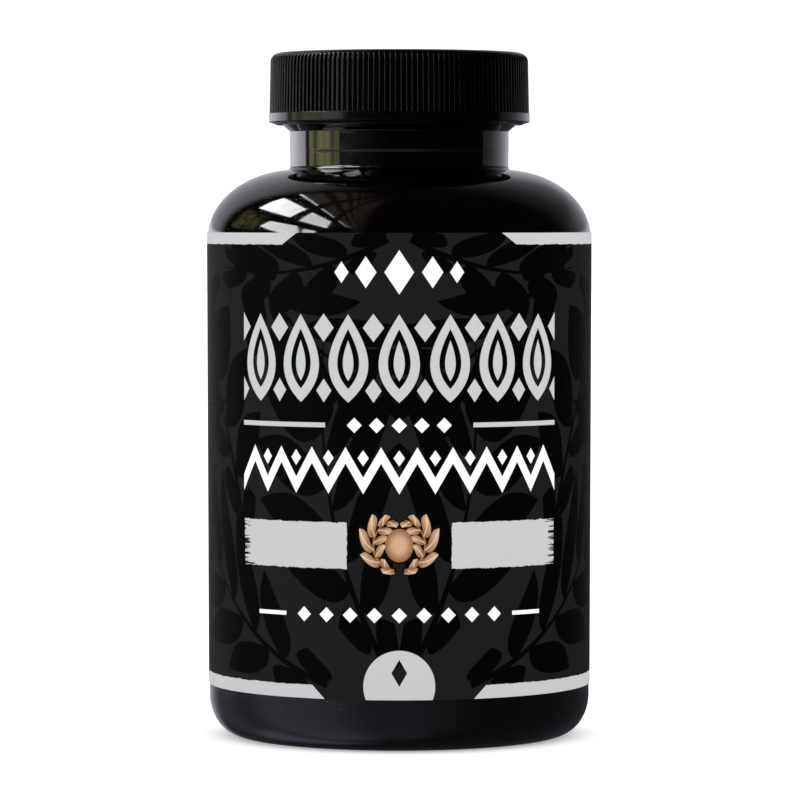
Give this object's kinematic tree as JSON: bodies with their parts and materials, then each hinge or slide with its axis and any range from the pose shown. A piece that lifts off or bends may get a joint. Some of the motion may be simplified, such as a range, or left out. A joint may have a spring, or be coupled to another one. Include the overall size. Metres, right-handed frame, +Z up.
{
  "type": "capsule bottle with screw cap",
  "caption": "Round glossy black bottle for capsules with a ribbed screw cap, a sealing liner, a charcoal wrap label and its fill of capsules; the cap unscrews along its thread.",
  "frame": {"origin": "middle of the base, on the surface that the bottle stands on", "axes": "+Z up along the bottle's axis; the label's front faces -Y and its seam is at +Y"},
  "size_m": [0.0706, 0.0704, 0.1249],
  "materials": {
    "bottle_plastic": "gloss",
    "label_film": "satin",
    "capsule_shell": "gloss",
    "liner_board": "matte",
    "cap_plastic": "satin"
  },
  "bodies": {
    "bottle": {"bottle": "bottle_plastic", "label": "label_film", "capsules": "capsule_shell"},
    "liner": {"liner": "liner_board"},
    "cap": {"cap": "cap_plastic"}
  },
  "joints": [
    {"name": "cap_lift", "type": "slide", "parent": "bottle", "child": "liner", "axis": [0, 0, 1], "range_m": [0, 0.00494]},
    {"name": "cap_turn", "type": "hinge", "parent": "liner", "child": "cap", "pos_m": [0, 0, 0.1182], "axis": [0, 0, 1], "range_deg": [0, 420]}
  ],
  "couplings": [
    {"joint": "cap_lift", "follows": "cap_turn", "m_per_rad": 0.00067375}
  ]
}
